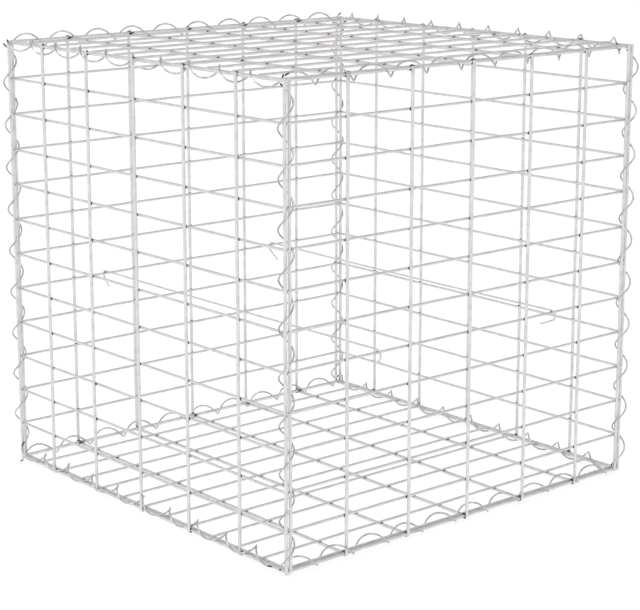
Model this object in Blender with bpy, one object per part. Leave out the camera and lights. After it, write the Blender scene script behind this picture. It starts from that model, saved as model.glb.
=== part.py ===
"""Gabion raised bed: a wire basket of six welded mesh panels, laced along its
twelve edges by spiral binders and braced inside by two hooked tie wires.

X runs to the right along the front, Y runs to the back, Z is up. The pieces
are laid out from the front left corner, where the front and left panels' bars
meet the height of their lowest rungs, and the finished basket is then stood on
the ground at Z = 0 with its middle over the origin. Sizes are in metres.
"""
import math

import bmesh
import bpy
import numpy as np
from mathutils import Matrix, Vector

# Welded mesh panels
RUNG_PITCH = 0.050        # between neighbouring rungs, the thinner wires
RUNG_CELLS = 12           # cells between a panel's outer rungs
FIRST_CELL = 0.091        # from a panel's first bar to its second
BAR_PITCH = 0.106         # between the next bars, the thicker wires
SMALLEST_CELL = 0.050     # the last cell takes what is left, and no less than this
BAR_DIAMETER = 0.0045
RUNG_DIAMETER = 0.0035
WELD_SINK = 0.0008        # how far a rung is pressed into a bar at each weld
BAR_END = 0.003           # a bar runs past the outer rung by this
RUNG_END = 0.002          # a rung runs past the outer bar by this
WIRE_SIDES = 4

# How the panels meet
WIRE_GAP = 0.0003         # between wires that touch
CORNER_GAP = 0.0008       # from the front panel's outer bar to the left panel's rungs
SIDE_INSET = 0.0015       # the right panel's outer bars stand inside the corners by this
LEFT_SHIFT = -0.003       # the left panel is laced in this much nearer the front
COVER_DROP = 0.001        # a cover's bars lie this far below the walls' outer rungs
COVER_SEAT = 0.0005       # between a cover's outer rung and the wall rung beside it

# Spiral binders
COIL_RADIUS = 0.0102      # from a coil's axis to its corners
COIL_CORNERS = 5          # corners to a turn
TURNS_PER_RUNG = 5 / 6    # five turns pass every six rungs
COIL_WIRE = 0.002
COIL_WIRE_SIDES = 3
CORNERS_ALONG_X = 48      # the coils along the front and back reach further
CORNERS_ALONG_OTHERS = 46
COIL_GAP = 0.0002         # least clearance from a coil to the wires it laces
SEAT_STEP = 0.001         # a coil that would touch is moved aside by steps of this
SEAT_TURN = math.radians(12)  # or turned by steps of this
SEAT_STEPS = 3

# Tie wires
TIE_WIRE = 0.0025
TIE_RUNG = 5              # the rung that a tie hooks over, counted from the base
HOOK_STEPS = 6

GALVANISED = (0.62, 0.63, 0.64, 1.0)
TIE_STEEL = (0.55, 0.56, 0.57, 1.0)
MESH_ROUGHNESS = 0.35
TIE_ROUGHNESS = 0.4

PANEL_SIZE = RUNG_CELLS * RUNG_PITCH
RUNG_OFFSET = (BAR_DIAMETER + RUNG_DIAMETER) / 2 - WELD_SINK
CORNER_INSET = RUNG_OFFSET + RUNG_DIAMETER / 2 + CORNER_GAP + BAR_DIAMETER / 2
WIDTH = PANEL_SIZE + 2 * CORNER_INSET   # between the left and right panels' bars
DEPTH = PANEL_SIZE + 2 * SIDE_INSET     # between the front and back panels' bars
COVER_BAR_INSET = RUNG_OFFSET + RUNG_DIAMETER / 2 + WIRE_GAP
COVER_RUNG_RISE = RUNG_OFFSET - COVER_DROP
COVER_RUNG_INSET = RUNG_OFFSET + math.sqrt((RUNG_DIAMETER + COVER_SEAT) ** 2 - COVER_RUNG_RISE ** 2)
COIL_PITCH = RUNG_PITCH / TURNS_PER_RUNG
COIL_REACH = 2 * (COIL_RADIUS + BAR_DIAMETER)  # a coil clears any wire beyond this

X, Y, Z = Vector((1, 0, 0)), Vector((0, 1, 0)), Vector((0, 0, 1))
MM = 0.001

# Each binder's name, the axis it runs along, which edge it laces, how far its own
# axis lies off that edge, how far along the edge its wire starts, and at what angle.
# Its two cross directions are Y and Z, Z and X, or X and Y: 0 and 1 name the near
# and the far edge in each, and the angle is counted from the first to the second.
BINDERS = (
    ("spiral_bottom_front", "X", (0, 0), (4.6, 4.3), 23, 74),
    ("spiral_bottom_back", "X", (1, 0), (-1.0, 2.0), 23, 40),
    ("spiral_top_front", "X", (0, 1), (1.1, 0.8), 20, 91),
    ("spiral_top_back", "X", (1, 1), (-1.3, 1.6), 23, 43),
    ("spiral_bottom_left", "Y", (0, 0), (10.0, -2.0), 26, 192),
    ("spiral_bottom_right", "Y", (0, 1), (1.9, -4.3), 29, 226),
    ("spiral_top_left", "Y", (1, 0), (-1.1, 3.6), 23, 108),
    ("spiral_top_right", "Y", (1, 1), (1.4, -3.0), 23, 312),
    ("spiral_front_left", "Z", (0, 0), (2.7, 0.2), 27, 275),
    ("spiral_front_right", "Z", (1, 0), (-4.0, -1.7), 24, 259),
    ("spiral_back_left", "Z", (0, 1), (3.1, 0.1), 18, 233),
    ("spiral_back_right", "Z", (1, 1), (-4.0, 2.0), 18, 173),
)

# Each tie's name, which of the front's cells it passes, and its front and back hooks,
# bent by hand and none alike. A hook is its bend's radius, where in the bend the rung
# lies (0 degrees is its top, 90 its outer side), how far round it goes, and its tail.
TIES = (
    ("tie_wire_left", 1, (8.5, 29, 185, 7), (5.5, 30, 131, 18)),
    ("tie_wire_right", 4, (7.0, 0, 158, 24), (7.0, 0, 145, 22)),
)


def empty_scene():
    for item in list(bpy.data.objects):
        bpy.data.objects.remove(item, do_unlink=True)


def new_collection(name):
    collection = bpy.data.collections.new(name)
    bpy.context.scene.collection.children.link(collection)
    return collection


def steel(name, colour, roughness):
    """A bare zinc-coated wire's metal."""
    material = bpy.data.materials.new(name)
    material.use_nodes = True
    shader = material.node_tree.nodes["Principled BSDF"]
    shader.inputs["Base Color"].default_value = colour
    shader.inputs["Metallic"].default_value = 1.0
    shader.inputs["Roughness"].default_value = roughness
    return material


def add_part(name, data, matrix, parts, root, colour=GALVANISED, roughness=MESH_ROUGHNESS):
    """One named piece, placed under the basket's root, with a metal of its own."""
    part = bpy.data.objects.new(name, data)
    parts.objects.link(part)
    part.parent = root
    part.matrix_local = matrix
    if not data.materials:
        data.materials.append(None)
    part.material_slots[0].link = "OBJECT"
    part.material_slots[0].material = steel(name, colour, roughness)
    return part


def frame_at(origin, first, second):
    """A placement at origin, with local X and Y along first and second."""
    matrix = Matrix((first, second, first.cross(second))).transposed().to_4x4()
    matrix.translation = origin
    return matrix


def bar_columns():
    """How far each bar stands from a panel's first one."""
    columns = [0.0, FIRST_CELL]
    while columns[-1] + BAR_PITCH + SMALLEST_CELL <= PANEL_SIZE:
        columns.append(columns[-1] + BAR_PITCH)
    return columns + [PANEL_SIZE]


def wall_wires():
    """A wall's wires on a flat sheet, as (start, end, diameter): bars along local
    Y in the plane Z = 0, and rungs along local X behind them."""
    bars = [
        (Vector((column, -BAR_END, 0)), Vector((column, PANEL_SIZE + BAR_END, 0)), BAR_DIAMETER)
        for column in bar_columns()
    ]
    rungs = []
    for row in range(RUNG_CELLS + 1):
        start = Vector((-RUNG_END, row * RUNG_PITCH, -RUNG_OFFSET))
        end = Vector((PANEL_SIZE + RUNG_END, row * RUNG_PITCH, -RUNG_OFFSET))
        rungs.append((start, end, RUNG_DIAMETER))
    return bars, rungs


def cover_wires():
    """The wires of the base and the lid, which lie between the walls' rungs: the
    bars run from front to back, and the rungs lie across on top of them."""
    bars = [
        (Vector((column, COVER_BAR_INSET, 0)), Vector((column, DEPTH - COVER_BAR_INSET, 0)), BAR_DIAMETER)
        for column in bar_columns()
    ]
    first_row = (DEPTH - (RUNG_CELLS - 2) * RUNG_PITCH) / 2
    rows = [first_row + index * RUNG_PITCH for index in range(RUNG_CELLS - 1)]
    rungs = []
    for row in [COVER_RUNG_INSET] + rows + [DEPTH - COVER_RUNG_INSET]:
        start = Vector((-RUNG_END, row, RUNG_OFFSET))
        end = Vector((PANEL_SIZE + RUNG_END, row, RUNG_OFFSET))
        rungs.append((start, end, RUNG_DIAMETER))
    return bars, rungs


def straight_wires(name, wires):
    """An object that holds each straight wire as a capped rod."""
    rods = bmesh.new()
    for start, end, diameter in wires:
        along = end - start
        turn = Z.rotation_difference(along).to_matrix().to_4x4()
        bmesh.ops.create_cone(
            rods,
            cap_ends=True,
            segments=WIRE_SIDES,
            radius1=diameter / 2,
            radius2=diameter / 2,
            depth=along.length,
            matrix=Matrix.Translation((start + end) / 2) @ turn,
        )
    mesh = bpy.data.meshes.new(name)
    rods.to_mesh(mesh)
    rods.free()
    return bpy.data.objects.new(name, mesh)


def welded_mesh(name, bars, rungs, guides):
    """The bars and rungs fused at every crossing into one body."""
    sheet = straight_wires(name, bars)
    across = straight_wires(name + "_rungs", rungs)
    for item in (sheet, across):
        guides.objects.link(item)
    weld = sheet.modifiers.new("weld", "BOOLEAN")
    weld.operation = "UNION"
    weld.solver = "EXACT"
    weld.object = across
    bpy.context.view_layer.update()
    fused = sheet.evaluated_get(bpy.context.evaluated_depsgraph_get())
    mesh = bpy.data.meshes.new_from_object(fused)
    mesh.name = name
    mesh.shade_smooth()
    for item in (sheet, across):
        bpy.data.objects.remove(item, do_unlink=True)
    return mesh


def panel_places():
    """Each wall's and each cover's place, from its first bar's outer end."""
    walls = {
        "front_panel": frame_at(Vector((CORNER_INSET, 0, 0)), X, Z),
        "back_panel": frame_at(Vector((CORNER_INSET, DEPTH, PANEL_SIZE)), X, -Z),
        "left_panel": frame_at(Vector((0, SIDE_INSET + LEFT_SHIFT, PANEL_SIZE)), Y, -Z),
        "right_panel": frame_at(Vector((WIDTH, SIDE_INSET, 0)), Y, Z),
    }
    covers = {
        "bottom_panel": frame_at(Vector((CORNER_INSET, 0, -COVER_DROP)), X, Y),
        "lid_panel": frame_at(Vector((CORNER_INSET, 0, PANEL_SIZE - COVER_DROP)), X, Y),
    }
    return walls, covers


def placed_wires(wires, places):
    """Every wire's start, end and radius where its panels stand, as arrays."""
    starts = [matrix @ start for matrix in places.values() for start, end, diameter in wires]
    ends = [matrix @ end for matrix in places.values() for start, end, diameter in wires]
    radii = [diameter / 2 for matrix in places.values() for start, end, diameter in wires]
    return np.array(starts), np.array(ends), np.array(radii)


def coil_points(corners):
    """A right-handed coil's corners, from (COIL_RADIUS, 0, 0) up local Z."""
    index = np.arange(corners + 1)
    angle = math.tau * index / COIL_CORNERS
    rise = COIL_PITCH * index / COIL_CORNERS
    return np.column_stack((COIL_RADIUS * np.cos(angle), COIL_RADIUS * np.sin(angle), rise))


def wire_section(sides, radius, guides):
    """A closed polygon, used as the section of a bent wire. It runs clockwise, so
    that the faces swept from it look outward."""
    section = bpy.data.curves.new("wire_section", "CURVE")
    section.dimensions = "2D"
    outline = section.splines.new("POLY")
    outline.points.add(sides - 1)
    for index, point in enumerate(outline.points):
        angle = -math.tau * index / sides
        point.co = (radius * math.cos(angle), radius * math.sin(angle), 0, 1)
    outline.use_cyclic_u = True
    guide = bpy.data.objects.new("wire_section", section)
    guide.hide_render = True
    guide.display_type = "WIRE"
    guides.objects.link(guide)
    return guide


def bent_wire(name, points):
    """A capped wire through its corners, still without a thickness."""
    wire = bpy.data.curves.new(name, "CURVE")
    wire.dimensions = "3D"
    wire.use_fill_caps = True
    line = wire.splines.new("POLY")
    line.points.add(len(points) - 1)
    for point, place in zip(line.points, points):
        point.co = (*place, 1)
    line.use_smooth = True
    return wire


def gaps_between(path, wires):
    """The clearance from each stretch of a coil to each straight wire: how far apart
    the two lines' nearest points are, less both wires' radii."""
    starts, ends, radii = wires
    stretch = (path[1:] - path[:-1])[:, None, :]
    length = (ends - starts)[None, :, :]
    apart = path[:-1][:, None, :] - starts[None, :, :]
    along_stretch = (stretch * apart).sum(axis=2)
    along_wire = (length * apart).sum(axis=2)
    stretch_squared = (stretch * stretch).sum(axis=2)
    wire_squared = (length * length).sum(axis=2)
    slant = (stretch * length).sum(axis=2)
    spread = np.maximum(stretch_squared * wire_squared - slant * slant, np.finfo(float).tiny)
    on_stretch = np.clip((slant * along_wire - along_stretch * wire_squared) / spread, 0, 1)
    on_wire = np.clip((slant * on_stretch + along_wire) / wire_squared, 0, 1)
    on_stretch = np.clip((slant * on_wire - along_stretch) / stretch_squared, 0, 1)
    nearest = apart + stretch * on_stretch[:, :, None] - length * on_wire[:, :, None]
    return np.sqrt((nearest * nearest).sum(axis=2)) - radii[None, :] - COIL_WIRE / 2


def seat_choices():
    """The small moves that a coil may make, the smallest first."""
    reach = range(-SEAT_STEPS, SEAT_STEPS + 1)
    moves = [(first, second, turn) for first in reach for second in reach for turn in reach]
    return sorted(moves, key=lambda move: sum(step * step for step in move))


def seat_binder(binder, points, wires, choices):
    """A binder's place: on its edge as given, or moved just enough to pass between
    the wires that it laces."""
    name, axis, edge, offset, start, angle = binder
    directions = {"X": (Y, Z, X), "Y": (Z, X, Y), "Z": (X, Y, Z)}
    spans = {"X": (DEPTH, PANEL_SIZE), "Y": (PANEL_SIZE, WIDTH), "Z": (WIDTH, DEPTH)}
    first, second, along = directions[axis]
    across = [edge[side] * spans[axis][side] + offset[side] * MM for side in (0, 1)]
    home = first * across[0] + second * across[1]
    beside = np.linalg.norm(np.cross(wires[0] - np.array(home), np.array(along)), axis=1)
    beside_end = np.linalg.norm(np.cross(wires[1] - np.array(home), np.array(along)), axis=1)
    near = np.minimum(beside, beside_end) < COIL_REACH
    near_wires = tuple(values[near] for values in wires)
    best = None
    for step_first, step_second, turns in choices:
        origin = home + first * step_first * SEAT_STEP + second * step_second * SEAT_STEP
        origin = origin + along * start * MM
        turn = Matrix.Rotation(math.radians(angle) + turns * SEAT_TURN, 4, "Z")
        matrix = frame_at(origin, first, second) @ turn
        path = points @ np.array(matrix.to_3x3()).T + np.array(origin)
        gap = gaps_between(path, near_wires).min()
        if best is None or gap > best[0]:
            best = (gap, matrix)
        if gap >= COIL_GAP:
            break
    return best[1]


def hook_points(rung_across, outward, hook):
    """A hook's corners in the YZ plane, from the top of its bend to the end of its
    tail. It goes down outside a rung, which bears on it from within."""
    radius, lean, sweep, tail = hook[0] * MM, math.radians(hook[1]), math.radians(hook[2]), hook[3] * MM
    step = sweep / HOOK_STEPS
    apart = radius * math.cos(step / 2) - (RUNG_DIAMETER + TIE_WIRE) / 2 - WIRE_GAP
    centre = rung_across - outward * apart * math.sin(lean)
    height = TIE_RUNG * RUNG_PITCH - apart * math.cos(lean)
    points = []
    for index in range(HOOK_STEPS + 1):
        angle = index * step
        points.append((0, centre + outward * radius * math.sin(angle), height + radius * math.cos(angle)))
    end = points[-1][1] + outward * tail * math.cos(sweep)
    return points + [(0, end, points[-1][2] - tail * math.sin(sweep))]


def stand_on_ground(parts, root):
    """Lowers the basket onto Z = 0, with its middle over the origin."""
    bpy.context.view_layer.update()
    graph = bpy.context.evaluated_depsgraph_get()
    corners = []
    for part in parts.objects:
        solid = part.evaluated_get(graph)
        mesh = solid.to_mesh()
        corners += [solid.matrix_world @ vertex.co for vertex in mesh.vertices]
        solid.to_mesh_clear()
    low = np.min(corners, axis=0)
    high = np.max(corners, axis=0)
    root.location = (-(low[0] + high[0]) / 2, -(low[1] + high[1]) / 2, -low[2])


def build_panels(parts, root, guides):
    """The four walls share one mesh, and the base and lid another."""
    walls, covers = panel_places()
    wall_bars, wall_rungs = wall_wires()
    cover_bars, cover_rungs = cover_wires()
    wall_mesh = welded_mesh("wall_mesh", wall_bars, wall_rungs, guides)
    cover_mesh = welded_mesh("cover_mesh", cover_bars, cover_rungs, guides)
    for name, place in walls.items():
        add_part(name, wall_mesh, place, parts, root)
    for name, place in covers.items():
        add_part(name, cover_mesh, place, parts, root)
    wall_arrays = placed_wires(wall_bars + wall_rungs, walls)
    cover_arrays = placed_wires(cover_bars + cover_rungs, covers)
    return tuple(np.concatenate(pair) for pair in zip(wall_arrays, cover_arrays))


def build_binders(wires, parts, root, guides):
    """The coils along X share one curve, and all the others another."""
    section = wire_section(COIL_WIRE_SIDES, COIL_WIRE / 2, guides)
    choices = seat_choices()
    coils = {}
    for corners in (CORNERS_ALONG_X, CORNERS_ALONG_OTHERS):
        coil = bent_wire("coil", coil_points(corners))
        coil.bevel_mode = "OBJECT"
        coil.bevel_object = section
        coils[corners] = coil
    for binder in BINDERS:
        corners = CORNERS_ALONG_X if binder[1] == "X" else CORNERS_ALONG_OTHERS
        place = seat_binder(binder, coil_points(corners), wires, choices)
        add_part(binder[0], coils[corners], place, parts, root)


def build_ties(parts, root):
    """Two straight wires hold the front and back walls together."""
    columns = bar_columns()
    for name, cell, front_hook, back_hook in TIES:
        front = hook_points(RUNG_OFFSET, -1, front_hook)
        back = hook_points(DEPTH - RUNG_OFFSET, 1, back_hook)
        tie = bent_wire(name, front[::-1] + back)
        tie.bevel_depth = TIE_WIRE / 2
        tie.bevel_resolution = 0
        middle = CORNER_INSET + (columns[cell] + columns[cell + 1]) / 2
        add_part(name, tie, Matrix.Translation((middle, 0, 0)), parts, root, TIE_STEEL, TIE_ROUGHNESS)


def main():
    empty_scene()
    parts = new_collection("gabion raised bed")
    guides = new_collection("guides")
    root = bpy.data.objects.new("basket", None)
    bpy.context.scene.collection.objects.link(root)
    wires = build_panels(parts, root, guides)
    build_binders(wires, parts, root, guides)
    build_ties(parts, root)
    stand_on_ground(parts, root)


main()
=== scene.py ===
"""Looks for the gabion raised bed: round drawn wires, weld spots, cut ends and
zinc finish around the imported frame, on a plain white stage.

Every straight wire's place and thickness is read from the frame's panels, and
every coil's axis, start and turn from the frame's binders, so nothing is fitted.
The two tie wires hang on the panels' rungs. Sizes are in metres.
"""

import math

import bmesh
import bpy
import numpy as np
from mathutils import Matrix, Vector


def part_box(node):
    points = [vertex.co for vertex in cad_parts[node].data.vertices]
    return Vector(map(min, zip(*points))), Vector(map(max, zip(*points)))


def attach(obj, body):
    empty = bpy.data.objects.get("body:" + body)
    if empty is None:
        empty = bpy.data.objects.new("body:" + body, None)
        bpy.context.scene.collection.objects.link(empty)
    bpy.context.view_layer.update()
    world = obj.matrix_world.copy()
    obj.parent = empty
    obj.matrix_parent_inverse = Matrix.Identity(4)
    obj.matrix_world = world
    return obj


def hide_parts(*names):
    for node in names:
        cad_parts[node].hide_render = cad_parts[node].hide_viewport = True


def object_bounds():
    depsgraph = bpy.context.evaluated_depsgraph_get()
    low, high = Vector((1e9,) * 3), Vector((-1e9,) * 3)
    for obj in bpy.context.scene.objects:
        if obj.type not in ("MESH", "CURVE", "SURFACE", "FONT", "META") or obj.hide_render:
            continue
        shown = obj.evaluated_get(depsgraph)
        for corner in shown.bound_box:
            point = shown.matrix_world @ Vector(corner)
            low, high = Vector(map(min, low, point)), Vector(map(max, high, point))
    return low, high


# Each panel, and the axes that its bars and its rungs run along
PANELS = (
    ("front_panel", 2, 0),
    ("back_panel", 2, 0),
    ("left_panel", 2, 1),
    ("right_panel", 2, 1),
    ("bottom_panel", 1, 0),
    ("lid_panel", 1, 0),
)

# Straight wires
BAR_SIDES = 14
RUNG_SIDES = 12
WIRE_STEP = 0.0125        # between the rings of a straight wire
WANDER = 0.00018          # how far a drawn wire strays from straight
WANDER_LENGTH = 0.22      # the longest of its waves
WANDER_WAVES = (1, 2.3)   # how many times shorter each of its waves is
WANDER_LEAST = 0.3        # the least share of its stray that a wave has
END_TAPER = 0.0008        # the length over which the shear rounds a cut end
END_SQUEEZE = 0.86        # and the width that it leaves
ENDS_APART = 0.010        # wire ends nearer than this belong to one wire

# Welds: dark spots of burnt scale, partly painted shade in the crevice at each crossing
WELD_SINK = 0.0008        # how deep a rung is pressed into a bar
WELD_LENGTH = 0.0032      # half the spot along the rung
WELD_WIDTH = 0.0024       # half of it along the bar
WELD_DEPTH = 0.0012
WELD_SPREAD = 0.14        # how much one spot's size differs from the next
WELD_ROUGH = 0.07         # and how uneven its skin is
WELD_DETAIL = 2           # times that its twenty faces are divided
EDGE_WELD = 0.25          # a spot on a panel's outer bar, beside the other spots
END_WELD = 1.6            # and one on its outer rung, where it spreads over the bar's cut end

# Coils
COIL_CORNERS = 5          # the frame's coil has this many corners to a turn
COIL_SECTION = 3          # and this many sides to its wire
COIL_RADIUS = 0.0090
COIL_WIRE = 0.0023
COIL_SIDES = 10
COIL_STEPS = 28           # rings to a turn
COIL_EASE = 0.0002        # how much a coil's radius varies along it
COIL_EASE_WAVES = 3.3
END_STEPS = 13            # a coil is wound on towards its corner by this many rings at most
END_CLEARANCE = 0.0004    # and stops this far from the next wire
BARE_RINGS = 2            # rings at a coil's cut end that the cutter scraped bare
SPRING_CLEARANCE = 0.0001  # a coil springs aside to pass a straight wire this far off
SPRING_SLACK = 0.00001    # give or take this
SPRING_REACH = 7          # over fewer rings than this each way
SPRING_RATE = 2           # by this share of what it lacks, spread over them
SPRING_ROUNDS = 30

# Tie wires
TIE_WIRE = 0.0025
TIE_SIDES = 12
HOOK_GAP = 0.0003
HOOK_STEP = 7             # degrees between the rings of a bend
TAIL_RINGS = 5
RUN_RINGS = 46
TIE_SAG = 0.0012          # how far the taut wire hangs at its middle
CONTACT_SHADE_MARK = (0.0011, 0.0021, 0.0010)  # half the painted contact shade where a tie bears on a rung

# Each tie's front and back hooks, as they are in the frame. A hook is its bend's radius
# in millimetres, where in the bend the rung lies (0 degrees is its top, 90 its outer
# side), how far round it goes, and its tail.
TIES = {
    "tie_wire_left": ((8.5, 29, 185, 7), (5.5, 30, 131, 18)),
    "tie_wire_right": ((7.0, 0, 158, 24), (7.0, 0, 145, 22)),
}
MM = 0.001

# Each zinc's light and dark tones, its specks' tint, and its least and most roughness
BAR_ZINC = ((0.765, 0.742, 0.765), (0.68, 0.66, 0.68), (0.6, 0.58, 0.6), 0.34, 0.46)
RUNG_ZINC = ((0.765, 0.742, 0.765), (0.675, 0.655, 0.675), (0.6, 0.58, 0.6), 0.36, 0.48)
# The coils' zinc is darker than the panels' as painted shade for their dark edges
COIL_ZINC = ((0.61, 0.59, 0.61), (0.43, 0.416, 0.43), (0.5, 0.48, 0.5), 0.16, 0.28)
TIE_ZINC = ((0.73, 0.71, 0.73), (0.64, 0.62, 0.64), (0.5, 0.48, 0.5), 0.36, 0.48)
SPECK_SHARE = 0.6

# Each weld's burnt scale, darkened partly as painted crevice shade (the same dark tones make the
# painted contact shade under the ties), and the bare steel of a cut end: dark and light tones
BURNT_SCALE_AND_SHADE = ((0.02, 0.02, 0.022), (0.15, 0.15, 0.155))
BARE_STEEL = ((0.03, 0.03, 0.032), (0.14, 0.135, 0.135))

# Fineness of each noise, in waves to a metre, and the depth of what it makes uneven
SPANGLE = 85
SPECKS = 620
PITS = 1400
PIT_DEPTH = 0.00005
BURNS = 900
BURN_DEPTH = 0.0001
GRAIN = 2200

CREASE = math.radians(55)  # edges sharper than this aren't smoothed

# White floor, and how much of its brightness is its own
FLOOR_REACH = 40
FLOOR_DROP = 0.0002       # so that the lowest wires don't cut into it
FLOOR_TONE = (0.32, 0.32, 0.32)
FLOOR_GLOW = 0.76

# Surround's brightness on the picture's left and right, the way across the picture,
# and the share that is left overhead
SURROUND_LEFT = 1.05
SURROUND_RIGHT = 0.80
ACROSS_PICTURE = (0.76, -0.65, 0)
SURROUND_OVERHEAD = 0.7
OVERHEAD_FROM, OVERHEAD_TO = 0.1, 0.9  # heights in the surround, whose top is 1

# Each soft lamp's place, width and power. Both face LAMP_TARGET.
LAMPS = {
    "key": ((-2.6, -0.6, 2.2), 0.9, 12),
    "top": ((-0.4, -0.9, 3.0), 1.2, 12),
}
LAMP_TARGET = Vector((0, 0, 0.3))

# Camera at the photograph's viewing angle. It looks down a little, where the
# photograph's own stood level with a larger shift.
CAMERA = (-1.678, -1.964, 0.863)
CAMERA_TURN = math.radians(-40.66)
CAMERA_DIP = math.radians(11.98)
CAMERA_LENS = 105.6
CAMERA_SHIFT = -0.08

random = np.random.default_rng(7)


def new_material(name, colour, roughness, metallic=1.0):
    material = bpy.data.materials.new(name)
    material.use_nodes = True
    shader = material.node_tree.nodes["Principled BSDF"]
    shader.inputs["Base Color"].default_value = (*colour, 1)
    shader.inputs["Roughness"].default_value = roughness
    shader.inputs["Metallic"].default_value = metallic
    return material, material.node_tree, shader


def noise(tree, where, scale, detail):
    texture = tree.nodes.new("ShaderNodeTexNoise")
    texture.inputs["Scale"].default_value = scale
    texture.inputs["Detail"].default_value = detail
    tree.links.new(where.outputs["Object"], texture.inputs["Vector"])
    return texture


def ramp(tree, source, stops):
    """A colour ramp from (position, colour) stops."""
    node = tree.nodes.new("ShaderNodeValToRGB")
    elements = node.color_ramp.elements
    while len(elements) < len(stops):
        elements.new(0.5)
    for element, (position, colour) in zip(elements, stops):
        element.position = position
        element.color = (*colour, 1)
    tree.links.new(source, node.inputs["Fac"])
    return node


def roughen(tree, texture, strength, depth, shader):
    """Makes a surface uneven by a noise."""
    bump = tree.nodes.new("ShaderNodeBump")
    bump.inputs["Strength"].default_value = strength
    bump.inputs["Distance"].default_value = depth
    tree.links.new(texture.outputs["Fac"], bump.inputs["Height"])
    tree.links.new(bump.outputs["Normal"], shader.inputs["Normal"])


def zinc(name, light, dark, speck, rough_low, rough_high):
    """Hot-dipped, wiped zinc: a pale metal with soft cloudy spangle, duller
    patches, a few fine dross specks and a slightly pitted skin."""
    material, tree, shader = new_material(name, light, rough_low)
    where = tree.nodes.new("ShaderNodeTexCoord")
    cloud = noise(tree, where, SPANGLE, 5)
    tint = ramp(tree, cloud.outputs["Fac"], [(0.34, dark), (0.62, light)])
    fine = noise(tree, where, SPECKS, 3)
    spots = ramp(tree, fine.outputs["Fac"], [(0.70, (1, 1, 1)), (0.78, speck)])
    colour = tree.nodes.new("ShaderNodeMix")
    colour.data_type = "RGBA"
    colour.blend_type = "MULTIPLY"
    colour.inputs["Factor"].default_value = SPECK_SHARE
    tree.links.new(tint.outputs["Color"], colour.inputs["A"])
    tree.links.new(spots.outputs["Color"], colour.inputs["B"])
    tree.links.new(colour.outputs["Result"], shader.inputs["Base Color"])
    dull = tree.nodes.new("ShaderNodeMapRange")
    dull.inputs["From Min"].default_value = 0.3
    dull.inputs["From Max"].default_value = 0.7
    dull.inputs["To Min"].default_value = rough_high
    dull.inputs["To Max"].default_value = rough_low
    tree.links.new(cloud.outputs["Fac"], dull.inputs["Value"])
    tree.links.new(dull.outputs["Result"], shader.inputs["Roughness"])
    roughen(tree, noise(tree, where, PITS, 4), 0.25, PIT_DEPTH, shader)
    return material


def burnt_scale_and_painted_shade(name, dark, light):
    """The dark burnt scale and flash round a resistance weld, partly painted shade in the crevice
    at a crossing; it is also the painted contact shade where a tie bears on a rung.
    """
    material, tree, shader = new_material(name, light, 0.6, 0.6)
    where = tree.nodes.new("ShaderNodeTexCoord")
    burnt = noise(tree, where, BURNS, 4)
    tint = ramp(tree, burnt.outputs["Fac"], [(0.38, dark), (0.66, light)])
    tree.links.new(tint.outputs["Color"], shader.inputs["Base Color"])
    roughen(tree, burnt, 0.5, BURN_DEPTH, shader)
    return material


def bare_steel(name, dark, light):
    """Steel where a wire was cut through after galvanising."""
    material, tree, shader = new_material(name, light, 0.6, 0.6)
    where = tree.nodes.new("ShaderNodeTexCoord")
    grain = noise(tree, where, GRAIN, 2)
    tint = ramp(tree, grain.outputs["Fac"], [(0.3, dark), (0.7, light)])
    tree.links.new(tint.outputs["Color"], shader.inputs["Base Color"])
    return material


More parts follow.
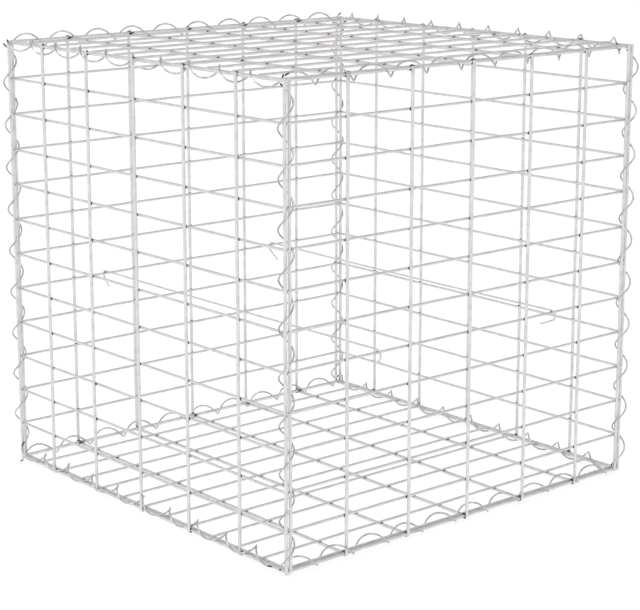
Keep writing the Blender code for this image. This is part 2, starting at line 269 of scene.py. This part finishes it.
class Wires:
    """Collects a piece's round wires and weld spots into one mesh."""

    def __init__(self):
        self.points = []
        self.faces = []
        self.slots = []
        self.materials = []

    def slot(self, material):
        """A material's number in the piece."""
        if material not in self.materials:
            self.materials.append(material)
        return self.materials.index(material)

    def ring_frames(self, path):
        """Two directions across the path at each point, turned as little as possible."""
        along = np.gradient(path, axis=0)
        along /= np.linalg.norm(along, axis=1)[:, None]
        side = np.cross(along[0], (0.31, 0.42, 0.85))
        sides = []
        for direction in along:
            side = side - direction * np.dot(side, direction)
            side = side / np.linalg.norm(side)
            sides.append(side)
        sides = np.array(sides)
        return sides, np.cross(along, sides)

    def add_wire(self, path, radius, sides, metal, bare=0):
        """A round wire along the path, rounded and narrowed where it was sheared. Its
        cut ends are zinced as the rest is, or bare for some rings."""
        zinced = self.slot(metal)
        cut = self.slot(cut_steel) if bare else zinced
        first, second = self.ring_frames(path)
        width = np.full(len(path), radius)
        width[0] *= END_SQUEEZE
        width[-1] *= END_SQUEEZE
        angle = 2 * math.pi * np.arange(sides) / sides
        across = first[:, None, :] * np.cos(angle)[None, :, None]
        around = across + second[:, None, :] * np.sin(angle)[None, :, None]
        rings = path[:, None, :] + around * width[:, None, None]
        base = len(self.points)
        self.points.extend(rings.reshape(-1, 3).tolist())
        for ring in range(len(path) - 1):
            scraped = min(ring, len(path) - 2 - ring) < bare
            low = base + ring * sides
            for corner in range(sides):
                after = (corner + 1) % sides
                self.faces.append(
                    (low + corner, low + after, low + sides + after, low + sides + corner)
                )
                self.slots.append(cut if scraped else zinced)
        last = base + (len(path) - 1) * sides
        self.faces.append(tuple(base + corner for corner in reversed(range(sides))))
        self.faces.append(tuple(last + corner for corner in range(sides)))
        self.slots += [cut, cut]

    def add_spot(self, centre, reach):
        """A weld's squeezed-out spot, dark partly as painted crevice shade, or a spot of painted
        contact shade, each a little different.
        """
        spot = bmesh.new()
        bmesh.ops.create_icosphere(spot, subdivisions=WELD_DETAIL, radius=1)
        size = np.array(reach) * random.uniform(1 - WELD_SPREAD, 1 + WELD_SPREAD, 3)
        base = len(self.points)
        for vertex in spot.verts:
            rough = 1 + WELD_ROUGH * random.uniform(-1, 1)
            self.points.append((np.array(vertex.co) * size * rough + centre).tolist())
        for face in spot.faces:
            self.faces.append(tuple(base + vertex.index for vertex in face.verts))
            self.slots.append(self.slot(weld_scale_and_painted_shade))
        spot.free()

    def to_piece(self, name):
        mesh = bpy.data.meshes.new(name)
        mesh.from_pydata(self.points, [], self.faces)
        for material in self.materials:
            mesh.materials.append(material)
        mesh.polygons.foreach_set("material_index", self.slots)
        mesh.shade_smooth()
        mesh.set_sharp_from_angle(angle=CREASE)
        piece = bpy.data.objects.new(name, mesh)
        bpy.context.scene.collection.objects.link(piece)
        return piece


def node_points(node):
    """A frame node's separate corners."""
    corners = np.array([vertex.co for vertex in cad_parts[node].data.vertices])
    return np.unique(np.round(corners, 6), axis=0)


def straight_wires(node, along, across):
    """Each wire of a panel that runs along one axis: its two ends and its radius."""
    points = node_points(node)
    low = points[:, along].min()
    high = points[:, along].max()
    ends = points[points[:, along] < low + END_TAPER]
    ends = ends[np.argsort(ends[:, across])]
    groups = np.split(ends, np.where(np.diff(ends[:, across]) > ENDS_APART)[0] + 1)
    wires = []
    for group in groups:
        middle = (group.min(axis=0) + group.max(axis=0)) / 2
        radius = (group[:, across].max() - group[:, across].min()) / 2
        start, end = middle.copy(), middle.copy()
        start[along] = low
        end[along] = high
        wires.append((start, end, radius))
    return wires


def drawn_path(start, end):
    """A straight wire's centre line, which strays by a hair as drawn wire does."""
    length = np.linalg.norm(end - start)
    count = int(round(length / WIRE_STEP))
    inner = np.linspace(0, length, count + 1)
    inner[0] = END_TAPER
    inner[-1] = length - END_TAPER
    places = np.concatenate(([0], inner, [length]))
    along = (end - start) / length
    path = start + places[:, None] * along
    for axis in np.argsort(np.abs(along))[:2]:
        for wave in WANDER_WAVES:
            phase = random.uniform(0, 2 * math.pi)
            stray = WANDER / wave * random.uniform(WANDER_LEAST, 1)
            path[:, axis] += stray * np.sin(2 * math.pi * places * wave / WANDER_LENGTH + phase)
    return path


def panel_piece(node, bar_axis, rung_axis):
    """A welded panel in round wire: bars, rungs and a weld spot at each crossing, whose darkness is
    partly painted crevice shade.
    """
    face_axis = 3 - bar_axis - rung_axis
    bars = straight_wires(node, bar_axis, rung_axis)
    rungs = straight_wires(node, rung_axis, bar_axis)
    wires = Wires()
    for start, end, radius in bars:
        wires.add_wire(drawn_path(start, end), radius, BAR_SIDES, bar_zinc)
    for start, end, radius in rungs:
        wires.add_wire(drawn_path(start, end), radius, RUNG_SIDES, rung_zinc)
    reach = [0, 0, 0]
    reach[rung_axis] = WELD_LENGTH
    reach[bar_axis] = WELD_WIDTH
    reach[face_axis] = WELD_DEPTH
    # Dark weld spots, partly painted shade in the crevice where each rung meets a bar
    for number, (bar, _, bar_radius) in enumerate(bars):
        share = EDGE_WELD if number in (0, len(bars) - 1) else 1
        for level, (rung, _, _) in enumerate(rungs):
            end_share = END_WELD if level in (0, len(rungs) - 1) else 1
            side = np.sign(rung[face_axis] - bar[face_axis])
            centre = bar.copy()
            centre[bar_axis] = rung[bar_axis]
            centre[face_axis] += side * (bar_radius - WELD_SINK / 2)
            wires.add_spot(centre, np.array(reach) * share * end_share)
    piece = wires.to_piece(node.replace("_panel", "_welded_mesh"))
    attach(piece, "root")
    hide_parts(node)
    return bars + rungs


def read_coil(node):
    """A frame coil's axis, where it starts and ends along it, its middle across it,
    the angle it starts at, how many turns it has, and a phase for its unevenness."""
    low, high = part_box(node)
    axis = int(np.argmax(high - low))
    points = node_points(node)
    points = points[np.argsort(points[:, axis])]
    corners = points.reshape(-1, COIL_SECTION, 3).mean(axis=1)
    whole = (len(corners) - 1) // COIL_CORNERS * COIL_CORNERS
    first, second = (axis + 1) % 3, (axis + 2) % 3
    middle = corners[:whole].mean(axis=0)
    turn = math.atan2(corners[0][second] - middle[second], corners[0][first] - middle[first])
    return {
        "axis": axis,
        "start": corners[0][axis],
        "length": corners[-1][axis] - corners[0][axis],
        "middle": middle,
        "turn": turn,
        "turns": (len(corners) - 1) / COIL_CORNERS,
        "phase": random.uniform(0, 2 * math.pi),
    }


def wound(coil, share):
    """A coil's points at shares of the frame coil's length, and a little past its ends."""
    axis = coil["axis"]
    first, second = (axis + 1) % 3, (axis + 2) % 3
    angle = coil["turn"] + 2 * math.pi * coil["turns"] * share
    radius = COIL_RADIUS + COIL_EASE * np.sin(2 * math.pi * COIL_EASE_WAVES * share + coil["phase"])
    path = np.zeros((len(share), 3))
    path[:, axis] = coil["start"] + coil["length"] * share
    path[:, first] = coil["middle"][first] + radius * np.cos(angle)
    path[:, second] = coil["middle"][second] + radius * np.sin(angle)
    return path


def clearance(point, wires):
    """How far a coil's wire at a point is from the nearest of some wires, which are
    arrays of their stretches' starts, ends and radii, and the way straight off it."""
    starts, ends, radii = wires
    length = ends - starts
    along = ((point - starts) * length).sum(axis=1) / (length * length).sum(axis=1)
    off = point - (starts + length * np.clip(along, 0, 1)[:, None])
    distance = np.linalg.norm(off, axis=1)
    nearest = np.argmin(distance - radii)
    gap = distance[nearest] - radii[nearest] - COIL_WIRE / 2
    return gap, off[nearest] / distance[nearest]


def sprung(path, wires):
    """A coil's path, sprung smoothly aside where it would cut into a straight wire."""
    spread = np.hanning(2 * SPRING_REACH + 1)
    spread *= SPRING_RATE / spread.sum()
    for _ in range(SPRING_ROUNDS):
        push = np.zeros(path.shape)
        for ring, point in enumerate(path):
            gap, away = clearance(point, wires)
            push[ring] = away * max(SPRING_CLEARANCE - gap, 0)
        if np.abs(push).max() < SPRING_SLACK:
            break
        for axis in range(3):
            path[:, axis] += np.convolve(push[:, axis], spread, "same")
    return path


def wound_on(coil, end, wires):
    """The share that a coil reaches past one end, 0 or 1, before it meets a wire or
    leaves the frame's box."""
    step = (1 if end else -1) / (coil["turns"] * COIL_STEPS)
    low, high = np.array(cad_box)
    share = end
    for _ in range(END_STEPS):
        point = wound(coil, np.array([share + step]))[0]
        inside = (point - COIL_WIRE / 2 > low).all() and (point + COIL_WIRE / 2 < high).all()
        if not inside or clearance(point, wires)[0] < END_CLEARANCE:
            break
        share += step
    return share


def stretches(paths, radius):
    """The starts, ends and radii of the stretches of some paths."""
    starts = np.concatenate([path[:-1] for path in paths])
    ends = np.concatenate([path[1:] for path in paths])
    return starts, ends, np.full(len(starts), radius)


def coil_pieces(nodes, panel_wires):
    """Each binder as a smooth round coil about the frame coil's own axis, wound on
    at both ends until it is close to the other wires at its corner."""
    coils = {node: read_coil(node) for node in nodes}
    paths = {}
    for node, coil in coils.items():
        paths[node] = wound(coil, np.linspace(0, 1, int(coil["turns"] * COIL_STEPS) + 1))
    for node, coil in coils.items():
        others = stretches([path for name, path in paths.items() if name != node], COIL_WIRE / 2)
        near = [np.concatenate(pair) for pair in zip(panel_wires, others)]
        first, last = wound_on(coil, 0, near), wound_on(coil, 1, near)
        count = int(round((last - first) * coil["turns"] * COIL_STEPS))
        paths[node] = sprung(wound(coil, np.linspace(first, last, count + 1)), panel_wires)
        wires = Wires()
        wires.add_wire(paths[node], COIL_WIRE / 2, COIL_SIDES, coil_zinc, BARE_RINGS)
        piece = wires.to_piece(node.replace("spiral", "coil"))
        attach(piece, "root")
        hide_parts(node)


def hook_path(rung, rung_radius, outward, hook):
    """A hook from the top of its bend round to the end of its tail, in Y and Z, and
    where its rung bears on it from within. It goes down outside the rung."""
    radius, tail = hook[0] * MM, hook[3] * MM
    lean, sweep = math.radians(hook[1]), math.radians(hook[2])
    apart = radius - rung_radius - TIE_WIRE / 2 - HOOK_GAP
    centre = rung[1] - outward * apart * math.sin(lean)
    height = rung[2] - apart * math.cos(lean)
    angles = np.linspace(0, sweep, int(round(hook[2] / HOOK_STEP)) + 1)
    across = centre + outward * radius * np.sin(angles)
    up = height + radius * np.cos(angles)
    reach = np.linspace(0, tail, TAIL_RINGS + 1)[1:]
    across = np.concatenate((across, across[-1] + outward * reach * math.cos(sweep)))
    up = np.concatenate((up, up[-1] - reach * math.sin(sweep)))
    inner = radius - TIE_WIRE / 2
    bearing = (centre + outward * inner * math.sin(lean), height + inner * math.cos(lean))
    return np.column_stack((across, up)), bearing


def tie_piece(node, front_hook, back_hook):
    """A tie wire: a taut run between two hooks that bear on the walls' rungs."""
    low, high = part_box(node)
    front = straight_wires("front_panel", 0, 2)
    back = straight_wires("back_panel", 0, 2)
    level = min(range(len(front)), key=lambda index: abs(front[index][0][2] - high.z))
    front_part, front_bearing = hook_path(front[level][0], front[level][2], -1, front_hook)
    back_part, back_bearing = hook_path(back[level][0], back[level][2], 1, back_hook)
    front_part = front_part[::-1]
    share = np.linspace(0, 1, RUN_RINGS + 2)[1:-1, None]
    run = front_part[-1] + (back_part[0] - front_part[-1]) * share
    run[:, 1] -= TIE_SAG * 4 * (share * (1 - share))[:, 0]
    line = np.concatenate((front_part, run, back_part))
    middle = (low.x + high.x) / 2
    path = np.column_stack((np.full(len(line), middle), line))
    wires = Wires()
    wires.add_wire(path, TIE_WIRE / 2, TIE_SIDES, tie_zinc)
    # A dark spot of painted contact shade where the tie bears on each rung
    for bearing in (front_bearing, back_bearing):
        wires.add_spot(np.array((middle, *bearing)), CONTACT_SHADE_MARK)
    piece = wires.to_piece(node.replace("wire", "hooked_wire"))
    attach(piece, "root")
    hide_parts(node)


def build_stage():
    """A white floor that runs out of sight, as bright as the surround."""
    floor_mesh = bpy.data.meshes.new("studio_floor")
    plane = bmesh.new()
    bmesh.ops.create_grid(plane, x_segments=1, y_segments=1, size=FLOOR_REACH)
    plane.to_mesh(floor_mesh)
    plane.free()
    floor = bpy.data.objects.new("studio_floor", floor_mesh)
    bpy.context.scene.collection.objects.link(floor)
    floor.location.z = -FLOOR_DROP
    material, tree, shader = new_material("white_floor", FLOOR_TONE, 0.9, 0)
    shader.inputs["Emission Color"].default_value = (1, 1, 1, 1)
    shader.inputs["Emission Strength"].default_value = FLOOR_GLOW
    floor_mesh.materials.append(material)


def soft_lamp(name, place, width, power):
    light = bpy.data.lights.new(name, "AREA")
    light.size = width
    light.energy = power
    lamp = bpy.data.objects.new(name, light)
    lamp.location = place
    facing = LAMP_TARGET - Vector(place)
    lamp.rotation_euler = facing.to_track_quat("-Z", "Y").to_euler()
    bpy.context.scene.collection.objects.link(lamp)


def build_light():
    """A white surround, brightest on the picture's left and dimmer overhead, with two
    soft lamps for the glints on the coils."""
    world = bpy.data.worlds.new("studio_surround")
    world.use_nodes = True
    tree = world.node_tree
    where = tree.nodes.new("ShaderNodeTexCoord")
    parts = tree.nodes.new("ShaderNodeSeparateXYZ")
    tree.links.new(where.outputs["Generated"], parts.inputs["Vector"])
    side = tree.nodes.new("ShaderNodeVectorMath")
    side.operation = "DOT_PRODUCT"
    side.inputs[1].default_value = ACROSS_PICTURE
    tree.links.new(where.outputs["Generated"], side.inputs[0])
    across = tree.nodes.new("ShaderNodeMapRange")
    across.inputs["From Min"].default_value = -1
    across.inputs["From Max"].default_value = 1
    across.inputs["To Min"].default_value = SURROUND_LEFT
    across.inputs["To Max"].default_value = SURROUND_RIGHT
    tree.links.new(side.outputs["Value"], across.inputs["Value"])
    overhead = tree.nodes.new("ShaderNodeMapRange")
    overhead.inputs["From Min"].default_value = OVERHEAD_FROM
    overhead.inputs["From Max"].default_value = OVERHEAD_TO
    overhead.inputs["To Min"].default_value = 1
    overhead.inputs["To Max"].default_value = SURROUND_OVERHEAD
    tree.links.new(parts.outputs["Z"], overhead.inputs["Value"])
    strength = tree.nodes.new("ShaderNodeMath")
    strength.operation = "MULTIPLY"
    tree.links.new(across.outputs["Result"], strength.inputs[0])
    tree.links.new(overhead.outputs["Result"], strength.inputs[1])
    tree.links.new(strength.outputs["Value"], tree.nodes["Background"].inputs["Strength"])
    tree.nodes["Background"].inputs["Color"].default_value = (1, 1, 1, 1)
    bpy.context.scene.world = world
    bpy.context.scene.view_settings.view_transform = "Standard"
    for name, lamp in LAMPS.items():
        soft_lamp(name, *lamp)


def build_camera():
    data = bpy.data.cameras.new("camera")
    data.lens = CAMERA_LENS
    data.shift_y = CAMERA_SHIFT
    camera = bpy.data.objects.new("camera", data)
    camera.location = CAMERA
    camera.rotation_euler = (math.pi / 2 - CAMERA_DIP, 0, CAMERA_TURN)
    bpy.context.scene.collection.objects.link(camera)
    bpy.context.scene.camera = camera


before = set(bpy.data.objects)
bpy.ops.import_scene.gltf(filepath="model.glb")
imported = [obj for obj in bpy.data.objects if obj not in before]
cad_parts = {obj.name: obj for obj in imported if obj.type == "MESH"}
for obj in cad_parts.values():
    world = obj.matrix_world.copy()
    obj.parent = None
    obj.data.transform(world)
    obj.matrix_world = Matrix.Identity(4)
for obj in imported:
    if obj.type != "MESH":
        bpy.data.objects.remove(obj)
cad_box = [list(corner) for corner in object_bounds()]

bar_zinc = zinc("bar_zinc", *BAR_ZINC)
rung_zinc = zinc("rung_zinc", *RUNG_ZINC)
coil_zinc = zinc("coil_zinc", *COIL_ZINC)
tie_zinc = zinc("tie_zinc", *TIE_ZINC)
weld_scale_and_painted_shade = burnt_scale_and_painted_shade("weld_scale_and_painted_shade", *BURNT_SCALE_AND_SHADE)
cut_steel = bare_steel("cut_steel", *BARE_STEEL)

build_camera()
build_light()
build_stage()
straight = []
for panel, bar_axis, rung_axis in PANELS:
    straight += panel_piece(panel, bar_axis, rung_axis)
panel_wires = [np.array(column) for column in zip(*straight)]
coil_pieces([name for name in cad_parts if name.startswith("spiral")], panel_wires)
for tie, hooks in TIES.items():
    tie_piece(tie, *hooks)
